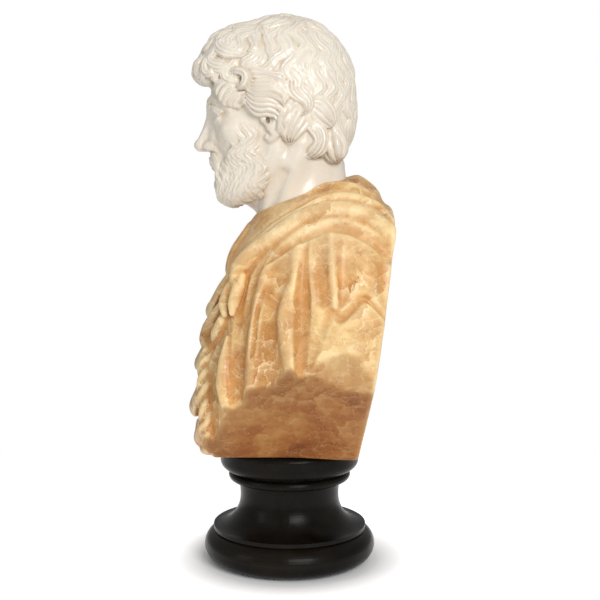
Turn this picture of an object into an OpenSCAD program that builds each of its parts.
// A life-size composite bust: a white marble head and neck set into a honey onyx drapery block,
// which turns on a black marble socle about one steel tie rod.
// Millimetres, +Z up. The origin is on the socle's axis at the surface it stands on, and the face looks along -Y.

/* [Socle] */
// Height of the turned socle, above its felt
socle_h = 163; // [150:1:180]
// Largest radius, at the middle of the foot torus
foot_r = 120; // [112:1:130]
// Height of the foot torus
foot_h = 44; // [36:1:48]
// Radius of the step above the foot torus
step_r = 107; // [102:1:110]
// Radius of the waist
waist_r = 69; // [62:1:74]
// Radius of the ovolo under the block
ovolo_r = 97; // [92:1:104]
// Thickness of the felt under the socle
felt_t = 2; // [1:0.5:4]

/* [Drapery block] */
// Half the width across the two draped arms
shoulder_half = 214; // [190:1:240]
// Half the width of the block where it meets the socle
seat_half = 94; // [88:1:110]
// Height of the drapery block, from its underside to its shoulder line
block_h = 330; // [310:1:350]
// Tilt of the sawn back, in degrees from the vertical
back_tilt = 8; // [5:0.5:11]
// Depth of the pleats over each arm
pleat_depth = 7; // [3:0.5:10]

/* [Head] */
// Half the width of the head across the hair over the ears
head_half = 88; // [80:1:96]
// Height of the head, from under the beard to the top of the hair
head_h = 264; // [250:1:280]
// Radius of the round tenon under the neck
tenon_r = 60; // [54:1:64]
// Length of the tenon
tenon_h = 72; // [50:1:80]

/* [Fixings] */
// Diameter of the tie rod
rod_d = 16; // [12:1:20]
// Radial running clearance between the tie rod and its bush
rod_play = 0.08; // [0.02:0.01:0.1]
// Diameter of the dowel between the neck and the block
dowel_d = 20; // [12:1:24]
// Thickness of the slip washer between the socle and the block
slip_t = 1.5; // [1:0.5:3]

/* [Hidden] */
$fn = 96;

gap = 0.1;                            // between faces that turn on each other
mortar = 0.5;                         // bed around the neck tenon
socle_top = felt_t + socle_h;
block_z = socle_top + gap + slip_t;   // underside of the drapery block
pocket_r = 36;                        // nut pocket under the socle
pocket_z = 44;                        // ceiling of the nut pocket
bush_r = 13;
washer_t = 3;
nut_h = 13;
lock_h = 8;
nut_across_corners = 27.7;            // 24 mm across the flats
rod_z0 = pocket_z - washer_t - nut_h - lock_h - 6;
rod_in_block = 110;
neck_y = 28;                          // axis of the neck tenon
tenon_top = block_z + 303.4;
tenon_z = tenon_top - tenon_h;
dowel_half = 60;
neck_h = 80;                          // from the tenon up into the head
chin_z = tenon_top + 26;
around = 72;                          // points round a lofted ring

// ---- curves ----------------------------------------------------------------

// Points of an arc about c, from angle a0 to a1
function arc(c, r, a0, a1, n = 12) = [for (i = [0:n]) let (a = a0 + (a1 - a0) * i / n) c + r * [cos(a), sin(a)]];

// Points of a quarter ellipse about c, with half axes h and v
function oval(c, h, v, a0, a1, n = 16) =
    [for (i = [0:n]) let (a = a0 + (a1 - a0) * i / n) c + [h * cos(a), v * sin(a)]];

function smooth(t) = let (u = min(1, max(0, t))) u * u * (3 - 2 * u);

// A row of a station table at height z, blended between the rows around it. Column 0 is the height.
function station(rows, z, i = 0) =
    i >= len(rows) - 2 || z <= rows[i + 1][0]
    ? let (t = (z - rows[i][0]) / (rows[i + 1][0] - rows[i][0])) rows[i] * (1 - t) + rows[i + 1] * t
    : station(rows, z, i + 1);

function power(v, n) = sign(v) * pow(abs(v), n);

// One ring of a loft. A station is [z, half width, front y, back y, roundness, pleat, front rise, back rise].
// Roundness is 1 on an ellipse, and less on a squarer ring. The two rises slope the ring along Y, before and
// behind its middle.
function ring(s, grow = 0) =
    let (mid = (s[2] + s[3]) / 2, deep = (s[3] - s[2]) / 2 + grow, wide = s[1] + grow)
    [for (i = [0:around - 1]) let (
        a = 360 * i / around,
        side = smooth((abs(cos(a)) - 0.45) / 0.35),
        fold = s[5] * side * cos(a * 10),
        y = (deep + fold * 0.4) * power(sin(a), s[4]))
        [(wide + fold) * power(cos(a), s[4]), mid + y, s[0] + y * (y < 0 ? s[6] : s[7])]];

// A closed solid through a stack of rings
module loft(rings) {
    n = len(rings[0]);
    top = len(rings) - 1;
    polyhedron(
        points = [for (r = rings) each r],
        faces = concat(
            [[for (i = [0:n - 1]) i]],
            [for (k = [0:top - 1], i = [0:n - 1]) let (j = (i + 1) % n)
                each [[k * n + i, (k + 1) * n + i, (k + 1) * n + j], [k * n + i, (k + 1) * n + j, k * n + j]]],
            [[for (i = [n - 1:-1:0]) top * n + i]]),
        convexity = 6);
}

// ---- socle -----------------------------------------------------------------

foot_half = foot_h / 2;
step_h = 6;
bead_r = 6.5;
bead_z = socle_top - 42;
ovolo_z = socle_top - 20;
waist_z = felt_t + foot_h + step_h + 42;

function socle_outline() = concat(
    [[pocket_r + 20, felt_t]],
    arc([foot_r - foot_half, felt_t + foot_half], foot_half, -90, 82, 20),
    [[step_r, felt_t + foot_h + 0.6], [step_r, felt_t + foot_h + step_h]],
    oval([step_r - 2, waist_z], step_r - 2 - waist_r, waist_z - felt_t - foot_h - step_h, 270, 180, 20),
    oval([step_r - 2, waist_z], step_r - 2 - waist_r, 60, 180, 158, 6),
    arc([ovolo_r - 18, bead_z], bead_r, -60, 75, 10),
    arc([ovolo_r - 13, ovolo_z], 13, -85, 0, 12),
    arc([ovolo_r - 6, socle_top - 6], 6, 0, 90, 8),
    [[pocket_r + 20, socle_top]]);

module socle() {
    color("#1b1a18") difference() {
        union() {
            rotate_extrude() polygon(socle_outline());
            translate([0, 0, felt_t]) cylinder(r = pocket_r + 21, h = socle_h);
        }
        translate([0, 0, felt_t - 1]) cylinder(r = pocket_r, h = pocket_z - felt_t + 1);
        cylinder(r = bush_r, h = socle_top + 1);
    }
}

module base_felt() {
    color("#2c3b2a") cylinder(r = foot_r - foot_half - 2, h = felt_t);
}

module socle_bush() {
    color("#b58a3c") translate([0, 0, pocket_z]) difference() {
        cylinder(r = bush_r, h = socle_top - pocket_z);
        translate([0, 0, -1]) cylinder(r = rod_d / 2 + rod_play, h = socle_top);
    }
}

// ---- drapery block ---------------------------------------------------------

// Stations of the block, with z above its underside. The rings reach behind the sawn back.
function block_rows() =
    let (w = shoulder_half, d = pleat_depth) [
        [0,             seat_half,      -122, 150, 0.70, 0,       0,    0],
        [14,            seat_half + 12, -138, 160, 0.72, 0,       0,    0],
        [40,            seat_half + 38, -142, 168, 0.74, 0,       0,    0],
        [74,            w - 44,         -141, 176, 0.76, 0,       0,    0],
        [104,           w - 14,         -137, 184, 0.78, 0,       0,    0],
        [124,           w,              -131, 190, 0.80, d,       0,    0],
        [184,           w,              -122, 196, 0.84, d,       0,    0],
        [234,           w - 9,          -107, 200, 0.86, d,       0.04, 0],
        [272,           w - 26,         -93,  202, 0.88, d * 0.7, 0.10, 0.02],
        [302,           w - 50,         -78,  202, 0.90, d * 0.4, 0.16, 0.05],
        [322,           w - 76,         -66,  196, 0.92, 0,       0.22, 0.07],
        [block_h + 4,   w - 104,        -58,  176, 0.94, 0,       0.30, 0.10],
        [block_h + 15,  w - 140,        -49,  110, 1.00, 0,       0.36, 0.34]];

// Stations of the neck between the tenon and the beard
function neck_rows() = [
    [tenon_top,      65, -38, 94, 1, 0, 0, 0],
    [tenon_top + 14, 63, -42, 91, 1, 0, 0, 0],
    [tenon_top + 40, 61, -54, 82, 1, 0, 0, 0],
    [tenon_top + 80, 62, -64, 76, 1, 0, 0, 0]];

module neck_form(grow) {
    rows = neck_rows();
    loft([for (i = [0:6]) ring(station(rows, tenon_top + neck_h * i / 6), grow)]);
}

module block_solid() {
    rows = block_rows();
    levels = [0, 5, 14, 26, 40, 56, 74, 90, 104, 114, 124, 144, 164, 184, 204, 220, 234, 248, 260, 272, 283, 293,
              302, 312, 322, 328, block_h + 4, block_h + 10, block_h + 15];
    translate([0, 0, block_z]) loft([for (z = levels) ring(station(rows, z))]);
}

// Everything behind the sawn back
module behind_back() {
    translate([-300, 92, block_z]) rotate([-back_tilt, 0, 0]) translate([0, 0, -60]) cube([600, 200, 520]);
}

module torso_drapery() {
    color("#d8a868") difference() {
        block_solid();
        behind_back();
        neck_form(mortar);
        translate([0, neck_y, tenon_z]) cylinder(r = tenon_r + mortar, h = tenon_h + 1);
        translate([0, neck_y, tenon_z - dowel_half]) cylinder(d = dowel_d, h = dowel_half + 1);
        translate([0, 0, block_z - 1]) cylinder(d = rod_d, h = rod_in_block + 1);
    }
}

// ---- head ------------------------------------------------------------------

// Stations of the head: share of its height, half width, front y, back y and roundness
function head_rows() =
    let (w = head_half) [
        [0.00, 30,      -98,  -42, 1.00],
        [0.03, 44,      -110, -26, 0.96],
        [0.10, 56,      -118, 4,   0.94],
        [0.20, 66,      -121, 52,  0.94],
        [0.30, 72,      -117, 82,  0.94],
        [0.42, w - 6,   -113, 90,  0.94],
        [0.55, w,       -116, 93,  0.94],
        [0.68, w,       -124, 92,  0.94],
        [0.80, w - 6,   -121, 84,  0.96],
        [0.89, w - 22,  -102, 68,  1.00],
        [0.96, w - 44,  -76,  44,  1.00],
        [1.00, w - 66,  -46,  20,  1.00]];

module head_form() {
    rows = head_rows();
    steps = 26;
    translate([0, 0, chin_z]) loft([for (i = [0:steps]) let (s = station(rows, i / steps))
        ring([s[0] * head_h, s[1], s[2], s[3], s[4], 0, 0, 0])]);
}

module nose() {
    hull() {
        translate([0, -110, chin_z + 142]) sphere(r = 7, $fn = 24);
        translate([0, -122, chin_z + 106]) sphere(r = 8, $fn = 24);
        for (side = [-1, 1]) translate([side * 10, -108, chin_z + 104]) sphere(r = 7, $fn = 24);
    }
}

module head_and_neck() {
    color("#ece6dc") difference() {
        union() {
            head_form();
            nose();
            neck_form(0);
            translate([0, neck_y, tenon_z + mortar]) cylinder(r = tenon_r, h = tenon_h - mortar);
        }
        translate([0, neck_y, tenon_z - 1]) cylinder(d = dowel_d, h = dowel_half + 1);
    }
}

// ---- fixings ---------------------------------------------------------------

module neck_dowel() {
    color("#a9adb0") translate([0, neck_y, tenon_z - dowel_half]) cylinder(d = dowel_d, h = 2 * dowel_half - 1);
}

module tie_rod() {
    color("#a9adb0") translate([0, 0, rod_z0]) cylinder(d = rod_d, h = block_z + rod_in_block - rod_z0);
}

module disc_washer(z, outer, thick) {
    translate([0, 0, z]) difference() {
        cylinder(r = outer, h = thick);
        translate([0, 0, -1]) cylinder(d = rod_d, h = thick + 2);
    }
}

module hex_nut(z, high) {
    translate([0, 0, z]) difference() {
        cylinder(d = nut_across_corners, h = high, $fn = 6);
        translate([0, 0, -1]) cylinder(d = rod_d, h = high + 2);
    }
}

module slip_washer() {
    color("#e4e2da") disc_washer(socle_top + gap, 78, slip_t);
}

module clamp_washer() {
    color("#b9bcbf") disc_washer(pocket_z - gap - washer_t, 25, washer_t);
}

module clamp_nut() {
    color("#a0a4a8") hex_nut(pocket_z - gap - washer_t - nut_h, nut_h);
}

module lock_nut() {
    color("#a0a4a8") hex_nut(pocket_z - gap - washer_t - nut_h - lock_h, lock_h);
}

socle();
base_felt();
socle_bush();
torso_drapery();
head_and_neck();
neck_dowel();
tie_rod();
slip_washer();
clamp_washer();
clamp_nut();
lock_nut();
